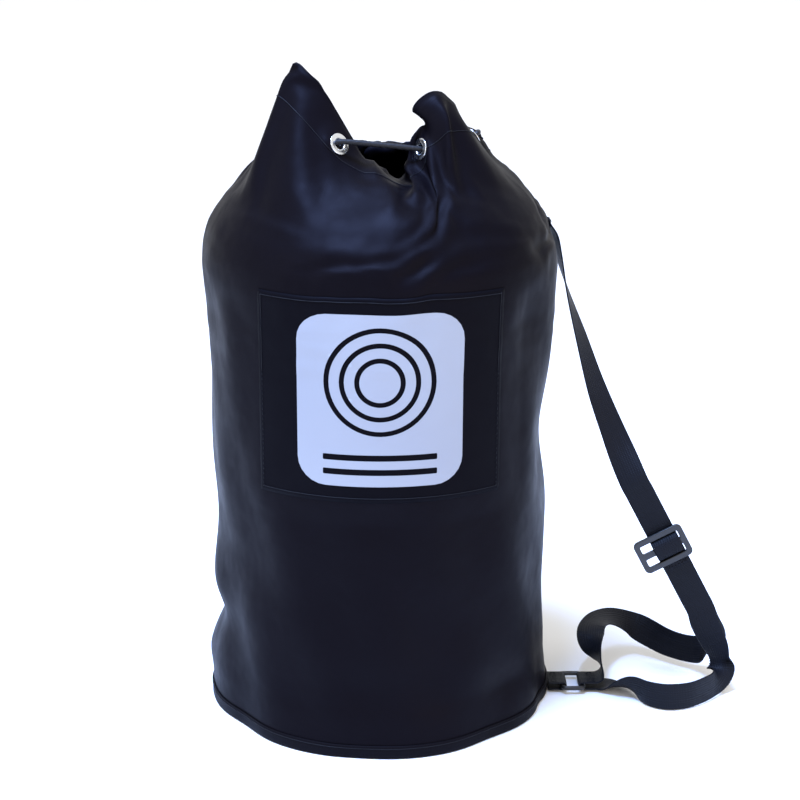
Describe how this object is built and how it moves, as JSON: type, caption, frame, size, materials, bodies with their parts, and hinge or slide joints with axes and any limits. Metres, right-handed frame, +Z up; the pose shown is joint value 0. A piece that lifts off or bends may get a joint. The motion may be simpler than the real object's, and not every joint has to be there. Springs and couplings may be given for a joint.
{
  "type": "rope storage bag",
  "caption": "Round duffel for storing a climbing rope, with a drawcord mouth through metal eyelets, a front patch, and an adjustable shoulder strap on a ring at the base.",
  "frame": {"origin": "centre of the round base, on the surface the bag stands on", "axes": "+Z up the bag, -Y towards the front patch, +X towards the shoulder strap"},
  "size_m": [0.4685, 0.3143, 0.5626],
  "materials": {
    "shell_fabric": "satin",
    "seam_binding": "matte",
    "patch_fabric": "matte",
    "print_film": "matte",
    "eyelet_metal": "polished",
    "cord_braid": "matte",
    "lock_plastic": "matte",
    "spring_steel": "satin",
    "webbing": "satin",
    "adjuster_plastic": "semi gloss"
  },
  "bodies": {
    "bag": {"bag_wall": "shell_fabric", "base_panel": "shell_fabric", "base_binding": "seam_binding", "side_seam_tape": "seam_binding", "hem_band": "shell_fabric", "front_patch": "patch_fabric", "front_print": "print_film", "eyelet_1": "eyelet_metal", "eyelet_2": "eyelet_metal", "eyelet_3": "eyelet_metal", "eyelet_4": "eyelet_metal", "eyelet_5": "eyelet_metal", "eyelet_6": "eyelet_metal", "eyelet_7": "eyelet_metal", "eyelet_8": "eyelet_metal", "eyelet_washer_1": "eyelet_metal", "eyelet_washer_2": "eyelet_metal", "eyelet_washer_3": "eyelet_metal", "eyelet_washer_4": "eyelet_metal", "eyelet_washer_5": "eyelet_metal", "eyelet_washer_6": "eyelet_metal", "eyelet_washer_7": "eyelet_metal", "eyelet_washer_8": "eyelet_metal", "drawcord": "cord_braid", "drawcord_tail_left": "cord_braid", "drawcord_tail_right": "cord_braid", "tail_knot_left": "cord_braid", "tail_knot_right": "cord_braid", "strap_top_end": "webbing", "shoulder_strap": "webbing", "strap_return": "webbing", "ring_tab": "webbing"},
    "ring": {"strap_ring": "adjuster_plastic", "strap_ring_turn": "webbing"},
    "adjuster": {"slide_adjuster": "adjuster_plastic", "strap_hump": "webbing", "strap_sewn_end": "webbing"},
    "lock_barrel": {"cord_lock_barrel": "lock_plastic", "cord_lock_spring": "spring_steel"},
    "lock_button": {"cord_lock_button": "lock_plastic"}
  },
  "joints": [
    {"name": "ring_swing", "type": "hinge", "parent": "bag", "child": "ring", "pos_m": [0.164, -0.011, 0.00575], "axis": [0, -1, 0], "range_deg": [0, 75]},
    {"name": "adjuster_slide", "type": "slide", "parent": "bag", "child": "adjuster", "axis": [-0.4695, 0, 0.8829], "range_m": [-0.03, 0.035]},
    {"name": "cord_lock_slide", "type": "slide", "parent": "bag", "child": "lock_barrel", "axis": [0, 0.829, -0.5592], "range_m": [0, 0.03]},
    {"name": "cord_lock_press", "type": "slide", "parent": "lock_barrel", "child": "lock_button", "axis": [-1, 0, 0], "range_m": [0, 0.004], "stiffness_N_per_m": 1200, "springref_m": -0.003}
  ]
}
